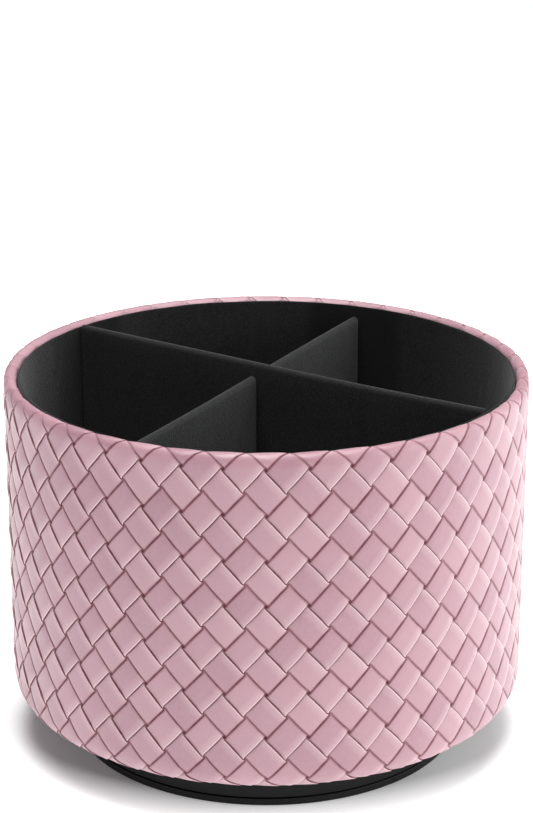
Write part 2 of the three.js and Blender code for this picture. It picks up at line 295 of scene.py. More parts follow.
def leather_finish():
    """Soft pressed leather in dusty pink: fine grain, tile by tile tone, creases partly in
    burnished plum and partly in painted shade, and a painted highlight on the proud edges.
    """
    finish = Finish("pink_plaited_leather", Specular_IOR_Level=0.60, Sheen_Weight=0.05,
                    Sheen_Roughness=0.45, Sheen_Tint=(1.0, 0.93, 0.96, 1.0))
    crease = finish.attribute("crease")
    lip_highlight = finish.attribute("lip_highlight")
    tone = finish.span(finish.attribute("tone"), -1, 1, 0, 1)
    cloud = finish.span(finish.noise(55, 3, 0.55), 0.3, 0.7, 0, 1)
    mottle = finish.span(finish.noise(620, 4, 0.65, distortion=0.4), 0.32, 0.68, 0, 1)
    clouded = finish.mix(cloud, (0.312, 0.169, 0.203), (0.341, 0.187, 0.223))
    mottled = finish.mix(finish.math("MULTIPLY", mottle, 0.5), clouded, (0.272, 0.139, 0.175))
    toned = finish.mix(tone, mottled, (0.375, 0.215, 0.249))
    # Painted highlight: the strips' proud edges are coloured lighter
    with_lip_highlight = finish.mix(finish.math("MULTIPLY", lip_highlight, 0.55), toned, (0.80, 0.62, 0.645))
    # Crease colour, partly burnished plum and partly painted shade, made patchy by noise
    crease_patches = finish.span(finish.noise(420, 2), 0.35, 0.65, 0.8, 1.0)
    color = finish.mix(finish.math("MULTIPLY", crease, crease_patches), with_lip_highlight, (0.125, 0.010, 0.022))
    pores = finish.cells(2600)
    wrinkles = finish.noise(900, 4, 0.6, distortion=0.6)
    grain = finish.math("ADD", finish.math("MULTIPLY", pores, 0.5), wrinkles)
    satin = finish.span(finish.noise(160, 3), 0.3, 0.7, 0.40, 0.50)
    roughness = finish.math("ADD", satin, finish.math("MULTIPLY", crease, 0.25))
    soft = finish.bump(finish.noise(230, 2), 0.10, 0.5)
    return finish.done(color, roughness, finish.bump(grain, 0.05, 0.8, soft))


def velvet_finish(name, pile_scale=1500, brushed=0.5):
    """Charcoal velvet: short uneven pile, brushed patches and a weak sheen at grazing angles."""
    finish = Finish(name, Specular_IOR_Level=0.12, Sheen_Weight=0.18, Sheen_Roughness=0.42,
                    Sheen_Tint=(0.9, 0.9, 0.92, 1.0))
    pile = finish.noise(pile_scale, 4, 0.65)
    strokes = finish.noise(60, 3, 0.55, finish.stretched(1, 1, 0.45), distortion=0.8)
    brushing = finish.span(strokes, 0.35, 0.68, 0, brushed)
    base = finish.mix(brushing, (0.0088, 0.0088, 0.0092), (0.0165, 0.0165, 0.0171))
    tips = finish.span(pile, 0.42, 0.75, 0, 0.8)
    standing = finish.mix(tips, base, (0.029, 0.029, 0.030))
    # Painted shade: the wall is coloured darker beside the dividers' ends
    divider_shade = finish.math("MULTIPLY", finish.attribute("nap_and_shade"), 0.75)
    color = finish.mix(divider_shade, standing, (0.004, 0.004, 0.004))
    rough = finish.span(pile, 0.3, 0.7, 0.88, 1.0)
    nap_and_shade = finish.bump(strokes, 0.35, 0.5)
    return finish.done(color, rough, finish.bump(pile, 0.22, 0.9, nap_and_shade))


def plastic_finish():
    """Black moulded plastic with a fine spark-eroded texture, faint flow marks and dust."""
    finish = Finish("black_moulded_plastic", Specular_IOR_Level=0.15)
    speckle = finish.noise(2400, 3, 0.6)
    flow = finish.noise(45, 3, 0.5, finish.stretched(1, 1, 4), distortion=1.2)
    base = finish.mix(finish.span(flow, 0.3, 0.7, 0, 1), (0.0058, 0.0058, 0.0060),
                      (0.0082, 0.0082, 0.0085))
    dust = finish.span(finish.noise(700, 5, 0.7), 0.60, 0.78, 0, 0.35)
    color = finish.mix(dust, base, (0.05, 0.05, 0.052))
    roughness = finish.span(flow, 0.3, 0.7, 0.36, 0.48)
    return finish.done(color, roughness, finish.bump(speckle, 0.03, 0.8))


def rubber_finish():
    finish = Finish("grey_foam_rubber")
    pores = finish.cells(1800, "SMOOTH_F1")
    tone = finish.span(finish.noise(300, 4), 0.3, 0.7, 0, 1)
    color = finish.mix(tone, (0.018, 0.018, 0.019), (0.035, 0.035, 0.036))
    roughness = finish.span(pores, 0.0, 0.8, 0.7, 0.95)
    return finish.done(color, roughness, finish.bump(pores, 0.15, 0.7))


def steel_finish():
    """Zinc-plated steel with turning marks and a little dulling."""
    finish = Finish("zinc_plated_steel", Metallic=1.0)
    marks = finish.noise(900, 4, 0.6, finish.stretched(1, 1, 7))
    dull = finish.span(finish.noise(260, 4, 0.6), 0.35, 0.7, 0, 1)
    color = finish.mix(dull, (0.62, 0.63, 0.66), (0.47, 0.47, 0.48))
    roughness = finish.span(dull, 0, 1, 0.24, 0.42)
    return finish.done(color, roughness, finish.bump(marks, 0.02, 0.6))


def cage_finish():
    """Milky acetal plastic, slightly see-through at the edges, with a matt moulded skin."""
    finish = Finish("milky_acetal", Subsurface_Weight=0.08, Subsurface_Scale=0.001)
    tone = finish.span(finish.noise(120, 3), 0.3, 0.7, 0, 1)
    color = finish.mix(tone, (0.72, 0.73, 0.70), (0.79, 0.79, 0.76))
    roughness = finish.span(finish.noise(500, 3), 0.3, 0.7, 0.38, 0.52)
    return finish.done(color, roughness, finish.bump(finish.noise(1500, 2), 0.02, 0.6))


def board_finish():
    """Grey-brown greyboard with fibres and darker flecks."""
    finish = Finish("greyboard", Roughness=0.9)
    fibres = finish.noise(700, 5, 0.7, finish.stretched(1, 1, 0.3), distortion=1.5)
    flecks = finish.span(finish.noise(1100, 2), 0.66, 0.74, 0, 0.6)
    base = finish.mix(finish.span(fibres, 0.3, 0.7, 0, 1), (0.27, 0.22, 0.165),
                      (0.37, 0.31, 0.24))
    color = finish.mix(flecks, base, (0.12, 0.095, 0.07))
    roughness = finish.span(fibres, 0.3, 0.7, 0.82, 0.95)
    return finish.done(color, roughness, finish.bump(fibres, 0.06, 0.7))


def foam_finish():
    finish = Finish("cream_foam_cord")
    pores = finish.cells(1400, "SMOOTH_F1")
    tone = finish.span(pores, 0.0, 0.7, 0, 1)
    color = finish.mix(tone, (0.50, 0.47, 0.40), (0.72, 0.70, 0.62))
    roughness = finish.span(tone, 0, 1, 0.85, 0.95)
    return finish.done(color, roughness, finish.bump(pores, 0.2, 0.8))


# --------------------------------------------------------------------------- the plaited leather
#
# The plait is a plain weave on the diagonal. With a and b counted in strips, each strip that runs
# down to the right lies along a whole number a, and each that runs up to the right along a whole
# number b. Where a + b is even the first kind is on top, elsewhere the second.

CELLS_AROUND = 42
CELL_WIDTH = TURN * TUB_R / CELLS_AROUND
CELL_HEIGHT = 14.32
CENTRE_U, CENTRE_V = -0.2, 113.36

# Places across an over-strip, in strips from its middle line. Its tucked edge is on the negative
# side and its proud edge on the positive side, and each place has a mesh line along it.
EDGE = 0.5
STRIP_HALF = 0.490
WALL_TOP, SHOULDER, LIP, BODY = 0.482, 0.474, 0.435, 0.17
TUCKED, TUCK_START, FAR_BODY = 0.457, 0.42, 0.20
STRIP_LINES = np.array([-EDGE, -STRIP_HALF, -TUCKED, -TUCK_START, -FAR_BODY, BODY, LIP, SHOULDER,
                        WALL_TOP, STRIP_HALF])
LINES = len(STRIP_LINES)
AROUND = CELLS_AROUND * LINES
EASE_ROWS = 10
HAIR = 1e-4

# Heights in millimetres. A is the kind of strip that runs down to the right, B the other kind.
WEAVE_DEPTH = 0.50
CROWN_FLATNESS = 0.38
EDGE_LEAN_A, EDGE_LEAN_B = 0.20, 0.09
TILE_TILT = 0.11
TILE_ROWS = 64
NOTCH_DEPTH = 0.45
SMALL_NOTCH_DEPTH = 0.30
TOP_ALLOWANCE = 0.20
SAG = 0.05

# How far the strips' edges stray from straight lines, in strips
EDGE_STEP = 0.042
STEP_SHARPNESS = 5
EDGE_BOW_A, EDGE_BOW_B = 0.018, 0.009
DRIFT = 0.004
DRIFT_PARTS = 8
DRIFT_TURNS = (5, 58)

# Profiles of an over-strip, as (place, value) pairs. Across it go its drop below the crown in
# millimetres, its own crease colour (burnished plum and painted shade) and the painted highlight
# on its proud edge. Along its run goes the crease colour and painted shade that it takes from the
# strips beside it.
DROP = [(-TUCKED, 0.15), (-TUCK_START, 0.05), (-FAR_BODY, 0.02), (BODY, 0.03), (LIP, 0.0),
        (SHOULDER, 0.01), (WALL_TOP, 0.10)]
OWN_CREASE = [(-EDGE, 1), (-STRIP_HALF, 1), (-TUCKED, 0.7), (-TUCK_START, 0), (SHOULDER, 0),
              (WALL_TOP, 0.9), (STRIP_HALF, 1), (EDGE, 0.35)]
NEXT_CREASE = [(-EDGE, 0.35), (-STRIP_HALF, 0.15), (-TUCKED, 0), (LIP, 0), (SHOULDER, 0.5),
               (STRIP_HALF, 1)]
LIP_HIGHLIGHT = [(BODY, 0), (LIP, 0.3), (SHOULDER, 1), (WALL_TOP, 0.6), (STRIP_HALF, 0)]
# The crease colour, partly painted shade, is weaker along tucked edges and grows with the pressing
TUCKED_CREASE_A, TUCKED_CREASE_B = 0.72, 0.9
CREASE_GAIN, CREASE_CUT = 1.6, 0.15

# The leather's section: a roll over the rim with a flap inside it, the upright wall, and a bend
# under the tub with a margin beyond it

ROLL_R = 2.3
ROLL_CENTRE_R = TUB_R - ROLL_R
ROLL_CENTRE_Z = TUB_TOP - ROLL_R
FLAP_BACK_R = LINER_OUTER_R + 1.0
BEND_R = 8.0
BEND_CENTRE_R = TUB_R - BEND_R
BEND_CENTRE_Z = TUB_BOTTOM + BEND_R
WALL_BACK_R = TUB_R - 1.3
TURN_THICK = 1.0
ROLL_HOLLOW = 1.3
MARGIN_R = 71.5
FLAP_LENGTH = 7.0
ROLL_END_V = ROLL_CENTRE_Z + ROLL_R * math.pi
BEND_START_V = BEND_CENTRE_Z - BEND_R * math.pi / 2

# How deep the plait is pressed, as (length along the section, share) pairs: full on the wall,
# less over the rim and under the tub. The rim is rubbed smooth about one direction.
RELIEF = [(BEND_START_V - 4, 0), (BEND_START_V, 0.6), (BEND_CENTRE_Z - 4, 0.95),
          (BEND_CENTRE_Z, 1), (ROLL_CENTRE_Z - 2, 1), (ROLL_CENTRE_Z + 2, 0.74),
          (ROLL_END_V - 2, 0.66), (ROLL_END_V + 1, 0)]
WEAR_ANGLE = math.radians(165)
WEAR_GAIN, WEAR_CUT, WEAR_MOST = 1.8, 0.5, 0.75
WEAR_RISE = 3


def profile(place, pairs):
    """The value at a place, between (place, value) pairs."""
    return np.interp(place, *zip(*pairs))


def leather_line(v):
    """The leather's outer face in section: radius, height and outward direction at a length v
    along it, which equals the height on the upright wall."""
    roll = np.clip((v - ROLL_CENTRE_Z) / ROLL_R, 0, math.pi)
    bend = np.clip((v - BEND_CENTRE_Z) / BEND_R, -math.pi / 2, 0)
    turn = roll + bend
    on_roll, on_bend = v > ROLL_CENTRE_Z, v < BEND_CENTRE_Z
    r = np.full_like(v, TUB_R)
    z = v.copy()
    r[on_roll] = ROLL_CENTRE_R + ROLL_R * np.cos(roll[on_roll])
    z[on_roll] = ROLL_CENTRE_Z + ROLL_R * np.sin(roll[on_roll])
    r[on_bend] = BEND_CENTRE_R + BEND_R * np.cos(bend[on_bend])
    z[on_bend] = BEND_CENTRE_Z + BEND_R * np.sin(bend[on_bend])
    past, under = np.maximum(v - ROLL_END_V, 0), np.maximum(BEND_START_V - v, 0)
    return r - under, z - past, np.cos(turn), np.sin(turn)


def strip_place(index, easing):
    """Where a mesh line lies, in strips: bunched at the strips' edges, or even where eased."""
    bunched = index // LINES + STRIP_LINES[index % LINES]
    even = index / LINES - EDGE
    return bunched * (1 - easing) + even * easing


def crown(run):
    """Height of an over-strip along its run through one crossing: 1 in the middle, 0 at the edge
    of the crossing."""
    return np.cos(math.pi * np.clip(np.abs(run), 0, EDGE)) ** CROWN_FLATNESS


def weave_height(a, b, draw):
    """Height of the plait above its mid-surface in millimetres, and how much of each vertex is
    crease colour (burnished plum and painted shade), painted lip highlight and tile tone. Every
    over-strip leans, so that one edge stands proud and the other is tucked in."""
    i, j = np.floor(a + 0.5).astype(int), np.floor(b + 0.5).astype(int)
    first_over = (i + j) % 2 == 0
    across = np.where(first_over, a - i, b - j)
    run = np.where(first_over, b - j, a - i)
    tables = draw.uniform(-1, 1, (3, CELLS_AROUND, TILE_ROWS))
    tilt_side, tilt_run, tone = tables[:, j % CELLS_AROUND, (i - j) % TILE_ROWS]
    lean = (tilt_side * across + tilt_run * run) * TILE_TILT * crown(across)
    lean += 2 * np.where(first_over, EDGE_LEAN_A, EDGE_LEAN_B) * across
    over = (WEAVE_DEPTH + lean) * crown(run) - profile(across, DROP)
    under = -WEAVE_DEPTH * crown(across)
    side = np.abs(across)
    wide_corner = (np.floor(a).astype(int) + np.floor(b).astype(int)) % 2 == 1
    reach = np.where(wide_corner, TUCKED, EDGE) - HAIR
    corner = (side > reach) & (np.abs(run) > reach)
    floor = np.where(wide_corner, -NOTCH_DEPTH, -SMALL_NOTCH_DEPTH)
    height = np.where(side > STRIP_HALF - HAIR, under, over)
    height = np.where(corner, floor, height)
    crease = np.where(corner, 1.0, crease_share(across, run, first_over))
    return height, crease, profile(across, LIP_HIGHLIGHT), tone


def crease_share(across, run, first_over):
    """Crease colour, partly burnished plum and partly painted shade: dark down an over-strip's
    proud edge, weaker along its tucked edge, and carried on to the ends of the strips beside it."""
    own, beside = profile(across, OWN_CREASE), profile(run, NEXT_CREASE)
    tucked_own = np.where(first_over, TUCKED_CREASE_A, TUCKED_CREASE_B)
    tucked_beside = np.where(first_over, TUCKED_CREASE_B, TUCKED_CREASE_A)
    own = np.where(across < 0, own * tucked_own, own)
    beside = np.where(run > 0, beside * tucked_beside, beside)
    return np.maximum(own, beside)


def stepped(place):
    """A square wave with eased steps: the edges of neighbouring crossings don't quite line up."""
    return np.clip(np.cos(math.pi * place) * STEP_SHARPNESS, -1, 1)


def plait_rows():
    """Lowest and highest mesh row, an even number apart."""
    per_row = CELL_HEIGHT / 2 / LINES
    low_v = BEND_START_V - (BEND_CENTRE_R - MARGIN_R)
    high_v = ROLL_END_V + FLAP_LENGTH
    low = math.floor((low_v - CENTRE_V) / per_row)
    high = math.ceil((high_v - CENTRE_V) / per_row)
    return low, high + (high - low) % 2


def plait_points():
    """The leather's outer face as a grid of points, with its crease colour (burnished plum and
    painted shade), painted lip highlight and tone values. Row is the difference of the two line
    numbers, and column the second line's number."""
    draw = np.random.default_rng(seed=11)
    low, high = plait_rows()
    row, column = np.meshgrid(np.arange(low, high + 1), np.arange(AROUND), indexing="ij")
    to_end = np.minimum(row - low, high - row)
    easing = np.clip(1 - to_end / EASE_ROWS, 0, 1)
    a = strip_place(row + column, easing)
    b = strip_place(column, easing)
    height, crease, lip_highlight, tone = weave_height(a, b, draw)
    uneven_a, uneven_b = strip_drift(draw), strip_drift(draw)
    shift_a = EDGE_BOW_A * np.cos(math.pi * b) - EDGE_STEP * stepped(b)
    shift_b = EDGE_BOW_B * np.cos(math.pi * a) - EDGE_STEP * stepped(a)
    a_bowed = a + shift_a * np.sin(math.pi * a) + uneven_a(a)
    b_bowed = b - shift_b * np.sin(math.pi * b) + uneven_b(b)
    bowing = 1 - easing
    a, b = a + (a_bowed - a) * bowing, b + (b_bowed - b) * bowing
    u = CENTRE_U + CELL_WIDTH / 2 * (a + b)
    v = CENTRE_V + CELL_HEIGHT / 2 * (a - b)
    r, z, out_r, out_z = leather_line(v)
    angle = u / TUB_R - math.pi / 2
    pressed = profile(v, RELIEF) * rim_wear(angle, v)
    sag = waves(seed=5, count=9, turns=17, rise=0.05)(u / TUB_R, v) * SAG
    rise = (height - WEAVE_DEPTH) * pressed - TOP_ALLOWANCE + sag * pressed
    r, z = r + out_r * rise, z + out_z * rise
    points = np.stack([r * np.cos(angle), r * np.sin(angle), z], axis=-1)
    # Crease colour and painted shade show more where the plait is pressed deeper
    crease_strength = np.clip(pressed * CREASE_GAIN - CREASE_CUT, 0, 1)
    return points, angle, (crease * crease_strength, lip_highlight * pressed, tone)


def strip_drift(draw):
    """Small differences in the place and width of whole strips, in strips."""
    parts = [(draw.integers(*DRIFT_TURNS), draw.uniform(0, TURN)) for _ in range(DRIFT_PARTS)]

    def drift(place):
        turned = place * TURN / CELLS_AROUND
        return sum(np.sin(n * turned + phase) for n, phase in parts) * DRIFT

    return drift


def rim_wear(angle, v):
    """The rim's plait is rubbed smooth on the left, round to the back, and crisp elsewhere."""
    side = np.cos(angle - WEAR_ANGLE)
    smooth = np.clip(side * WEAR_GAIN - WEAR_CUT, 0, 1) * WEAR_MOST
    return 1 - smooth * np.clip((v - ROLL_CENTRE_Z + WEAR_RISE / 2) / WEAR_RISE, 0, 1)


def leather_back(front_top, front_bottom, angle_top):
    """Rings of the leather's hidden face, from the flap's end to the margin's end."""
    flap_z = front_top[0, 2]
    margin_r = np.hypot(*front_bottom[0, :2])
    line = [np.array([FLAP_BACK_R, flap_z])]
    line += arc(ROLL_CENTRE_R, ROLL_CENTRE_Z, ROLL_CENTRE_R - FLAP_BACK_R, ROLL_HOLLOW, 180, 90, 4)
    line += arc(ROLL_CENTRE_R, ROLL_CENTRE_Z, WALL_BACK_R - ROLL_CENTRE_R, ROLL_HOLLOW, 70, 0, 3)
    line += arc(BEND_CENTRE_R, BEND_CENTRE_Z, WALL_BACK_R - BEND_CENTRE_R,
                BEND_R - TURN_THICK, 0, -90, 8)
    line += [np.array([margin_r, TUB_BOTTOM + TURN_THICK])]
    return [np.stack([r * np.cos(angle_top), r * np.sin(angle_top), np.full(AROUND, z)], axis=-1)
            for r, z in line]


def plait_faces(rows):
    """Diamond faces of the diagonal grid, and the triangles that square off its two ends."""
    faces = []
    for row in range(rows):
        for column in range(AROUND):
            after = (column + 1) % AROUND
            here, beside = row * AROUND + column, row * AROUND + after
            above, below = here + AROUND, beside - AROUND
            if row == 0:
                faces.append((here, above, beside))
            elif row == rows - 1:
                faces.append((here, beside, below))
            else:
                faces.append((here, above, beside, below))
    return faces


def add_leather(finish):
    points, angle, shares = plait_points()
    rows = len(points)
    back = leather_back(points[-1], points[0], angle[-1])
    faces = plait_faces(rows)
    count = rows * AROUND
    shift = (rows - 1) // 2
    rings = [[(rows - 1) * AROUND + k for k in range(AROUND)]]
    rings += [[count + n * AROUND + k for k in range(AROUND)] for n in range(len(back))]
    rings += [[(k + shift) % AROUND for k in range(AROUND)]]
    for upper, lower in zip(rings, rings[1:]):
        faces.extend(band(upper, lower, AROUND))
    everything = np.concatenate([points.reshape(-1, 3), *back])
    piece = add_piece("plaited_leather", everything, faces, "tub", finish, "leather", sharp=80)
    # Crease colour with painted shade, painted lip highlight and tile tone, per vertex
    for name, values in zip(("crease", "lip_highlight", "tone"), shares):
        data = np.zeros(len(everything), np.float32)
        data[:count] = values.ravel()
        piece.data.attributes.new(name, "FLOAT", "POINT").data.foreach_set("value", data)
    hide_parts("leather_wrap")


# --------------------------------------------------------------------------------- velvet inside

# Each panel's upright plane lies at an offset along its normal, which points at an angle
DIVIDER_THICK = 3.0
DIVIDER_VELVET = 0.5
DIVIDER_GAP = 0.3
DIVIDER_BOTTOM = PAD_TOP + DIVIDER_GAP
END_PLAY = 0.1
SLOT_PLAY = 0.8
LAP_Z = 70
MAIN = {"angle": math.radians(55.3), "offset": 3.5, "sag": 1.2}
CROSS = {"angle": math.radians(-28), "offset": -6.25, "sag": 0.35}
ALONG_STEPS = 72

# The lining's soft top edge, its swell, and how far round from a divider's end the wall carries
# painted shade
LINER_EDGE_R = 0.4
LINER_SWELL = 0.07
SHADE_REACH = math.radians(14)
SHADE_EASE = math.radians(3)


def add_liner(finish):
    """The upright velvet lining, with a soft top edge tucked behind the leather's flap."""
    inner = LINER_OUTER_R - LINER_THICK
    uneven = waves(seed=21, count=10, turns=14, rise=0.06)
    heights = np.linspace(LINER_BOTTOM + 0.5, LINER_TOP - 2 * LINER_EDGE_R, 40)
    outline = [(LINER_OUTER_R, LINER_BOTTOM), (LINER_OUTER_R, LINER_TOP - LINER_EDGE_R)]
    outline += arc(inner + LINER_EDGE_R, LINER_TOP - LINER_EDGE_R, LINER_EDGE_R, LINER_EDGE_R,
                   0, 180, 8)
    outline += [(inner, z) for z in heights[::-1]] + [(inner + 0.1, LINER_BOTTOM)]

    def relief(angle, r, z):
        soft = np.where(r < inner + 0.2, uneven(angle, z) * LINER_SWELL + LINER_SWELL, 0)
        return r + soft, z + np.where(z > LINER_TOP - 1, uneven(angle * 2, z) * 0.05 - 0.05, 0)

    points, faces = revolve(outline, SIDES, relief)
    piece = add_piece("velvet_lining", points, faces, "tub", finish, "velvet")
    paint_divider_shade(piece, points)
    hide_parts("liner_wall")


def paint_divider_shade(piece, points):
    """Painted shade: the wall is coloured darker beside each end of the dividers."""
    nap_and_shade = np.zeros(len(points))
    x, y, _ = np.asarray(points).T
    for panel in (MAIN, CROSS):
        for way in (-1, 1):
            tilt = way * (math.pi / 2 - panel["offset"] / LINER_OUTER_R)
            away = np.angle(np.exp(1j * (np.arctan2(y, x) - panel["angle"] - tilt)))
            beside = np.clip((SHADE_REACH - np.abs(away)) / SHADE_EASE, 0, 1)
            nap_and_shade = np.maximum(nap_and_shade, beside)
    piece.data.attributes.new("nap_and_shade", "FLOAT", "POINT").data.foreach_set(
        "value", nap_and_shade.astype(np.float32))


def add_floor_pad(finish):
    """The velvet-covered floor disc: a thin pad with soft edges and a very slight unevenness on
    top.
    """
    uneven = waves(seed=31, count=12, turns=9, rise=0.0)
    edge_r = PAD_R - 0.1
    rings = np.linspace(edge_r - 1.2, 6, 26)
    outline = [(0, PAD_BOTTOM), (edge_r - 0.7, PAD_BOTTOM)]
    outline += arc(edge_r - 0.7, (PAD_BOTTOM + PAD_TOP) / 2 - 0.06, 0.7, 0.7, -60, 88, 8)
    outline += [(r, PAD_TOP - 0.1) for r in rings] + [(0, PAD_TOP - 0.1)]

    def relief(angle, r, z):
        top = z > PAD_TOP - 0.2
        return r, z + np.where(top, uneven(angle + r * 0.05, r) * 0.04, 0)

    piece = add_piece("velvet_floor_pad", *revolve(outline, SIDES, relief), "tub", finish,
                      "velvet")
    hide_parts("floor_pad")


def panel_length(panel):
    reach = LINER_OUTER_R - LINER_THICK - DIVIDER_GAP - END_PLAY
    return 2 * math.sqrt(reach ** 2 - (abs(panel["offset"]) + DIVIDER_THICK / 2) ** 2)


def round_topped(half, bottom, top):
    """Section of a panel with a half-round top that starts half its thickness below the top."""
    fold = top - DIVIDER_THICK / 2
    heights = np.linspace(bottom, fold, 24)[:-1]
    outline = [(half, z) for z in heights]
    outline += arc(0, fold, half, half, 0, 180, 10)
    return outline + [(-half, z) for z in heights[::-1]]


def flat_topped(half, bottom, top):
    heights = np.linspace(bottom, top, 14)
    return [(half, z) for z in heights] + [(-half, z) for z in heights[::-1]]


def sweep_panel(outline, panel, top, trim):
    """The section swept along the panel, with the gentle wave that such a wrapped board has. It
    stops short of the panel's ends by the trim."""
    reach = panel_length(panel) / 2
    along = np.linspace(trim - reach, reach - trim, ALONG_STEPS + 1)
    share = along / reach
    dip = panel["sag"] * (0.55 * (share ** 2 - 1) + 0.45 * np.sin(math.pi * share) * 0.6)
    bow = panel["sag"] * 0.5 * np.sin(math.pi * (share + 1) * 0.9)
    points = []
    for y, down, sideways in zip(along, dip, bow):
        for x, z in outline:
            lift = (z - DIVIDER_BOTTOM) / (top - DIVIDER_BOTTOM)
            points.append((x + sideways * lift ** 2, y, z + down * lift ** 4))
    count = len(outline)
    faces = [tuple(range(count)), tuple(range(len(points) - count, len(points)))[::-1]]
    for row in range(ALONG_STEPS):
        for k in range(count):
            after = (k + 1) % count
            first, second = row * count, (row + 1) * count
            faces.append((first + k, first + after, second + after, second + k))
    return points, faces


def panel_place(panel):
    """Turns a panel's own coordinates (across, along, up) into the organizer's, in metres."""
    slide = Matrix.Translation((panel["offset"] * MM, 0, 0))
    return Matrix.Rotation(panel["angle"], 4, "Z") @ slide


def closed_object(name, points, faces):
    """A bare closed object to cut with, from points in millimetres."""
    mesh = mesh_from(name, points, faces)
    face_outwards(mesh)
    return in_scene(name, mesh)


def slot_cutter(panel, other, slot_span):
    """The slot that the other panel passes through, from one height to another."""
    bottom, top = slot_span
    half, reach = DIVIDER_THICK / 2 + SLOT_PLAY, 3 * DIVIDER_THICK
    turn = other["angle"] - panel["angle"]
    crossing = (panel["offset"] - other["offset"] * math.cos(turn)) / -math.sin(turn)
    corners = [(x, y) for x, y in ((-half, -reach), (half, -reach), (half, reach), (-half, reach))]
    points = [(x, crossing + y, z) for z in (bottom, top) for x, y in corners]
    faces = [(0, 1, 2, 3), (7, 6, 5, 4)]
    faces += [(k, (k + 1) % 4, (k + 1) % 4 + 4, k + 4) for k in range(4)]
    cutter = closed_object("slot", points, faces)
    cutter.data.transform(panel_place(panel).inverted() @ panel_place(other))
    return cutter


def finish_panel_piece(piece, panel, cutters, node):
    """Cuts the piece, stands it in its place and lets it replace its CAD node."""
    subtract(piece, cutters)
    piece.data.transform(panel_place(panel))
    tidy_mesh(piece.data)
    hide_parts(node)


def add_panel_cover(name, own, other, slot_span, finish):
    """A velvet sock over the panel's board, open underneath."""
    node = f"{name}_divider_cover"
    _, _, top = span(node)
    half = DIVIDER_THICK / 2
    outside = sweep_panel(round_topped(half, DIVIDER_BOTTOM, top), own, top, 0)
    inside_outline = round_topped(half - DIVIDER_VELVET, DIVIDER_BOTTOM - 1, top)
    inside = sweep_panel(inside_outline, own, top, DIVIDER_VELVET)
    piece = add_piece(f"{name}_divider_velvet", *outside, "tub", finish, "velvet")
    cutters = [closed_object("inside", *inside), slot_cutter(own, other, slot_span)]
    finish_panel_piece(piece, own, cutters, node)


def add_panel_board(name, own, other, slot_span, finish):
    node = f"{name}_divider_board"
    _, _, top = span(node)
    inner = DIVIDER_THICK / 2 - DIVIDER_VELVET - DIVIDER_GAP
    outline = flat_topped(inner, DIVIDER_BOTTOM, top)
    _, _, cover_top = span(f"{name}_divider_cover")
    solid = sweep_panel(outline, own, cover_top, DIVIDER_VELVET + DIVIDER_GAP)
    piece = add_piece(f"{name}_divider_stiffener", *solid, "tub", finish, "board")
    finish_panel_piece(piece, own, [slot_cutter(own, other, slot_span)], node)


def subtract(piece, cutters):
    """Cuts closed objects out of a piece and removes them."""
    for cutter in cutters:
        modifier = piece.modifiers.new("cut", "BOOLEAN")
        modifier.object = cutter
        modifier.operation = "DIFFERENCE"
        modifier.solver = "EXACT"
    bpy.context.view_layer.update()
    graph = bpy.context.evaluated_depsgraph_get()
    result = bpy.data.meshes.new_from_object(piece.evaluated_get(graph))
    piece.modifiers.clear()
    piece.data = result
    for cutter in cutters:
        bpy.data.objects.remove(cutter)


def add_dividers(velvet, board):
    """Two crossed panels: the main one is slotted from below and the cross one from above."""
    for name, own, other, slot_span in (
        ("main", MAIN, CROSS, (0, LAP_Z + DIVIDER_GAP)),
        ("cross", CROSS, MAIN, (LAP_Z, TUB_TOP + 5)),
    ):
        add_panel_cover(name, own, other, slot_span, velvet)
        add_panel_board(name, own, other, slot_span, board)


# ------------------------------------------------------------------------------------ turntable

# The ball race: a rail on each half, and in each rail a groove about the balls' circle
RACE_R, RACE_Z, GROOVE_R = 46, 7.2, 3.3
RAIL_INNER, RAIL_OUTER = 40, 52
GROOVE_INNER, GROOVE_OUTER = 43.1, 48.9
UPPER_RAIL_Z, LOWER_RAIL_Z = 8.8, 5.6

# The hub round the pivot bolt, and the holes through both halves
HUB_R, BOLT_HOLE_R = 11, 2.8
HUB_MEET_LOW, HUB_MEET_HIGH = 7.0, 7.4
NUT_POCKET_R, NUT_POCKET_Z = 8.2, 9.6
HEAD_POCKET_R, HEAD_POCKET_Z = 4.9, 3.9
HOUSING_WALL = 2.4
SEAM_GAP = 0.4
PLATE_FIELD = 1.2
SCREW_HOLE_R, DRIVER_HOLE_R = 1.8, 4.2
FOOT_R, FOOT_THICK = 6, 2
FOOT_POCKET_R, FOOT_POCKET_Z = 6.3, 2.3


def groove(start, end):
    """Outline corners along a ball groove, from one angle to another in degrees."""
    return [(r, z, 0) for r, z in arc(RACE_R, RACE_Z, GROOVE_R, GROOVE_R, start, end, 10)]


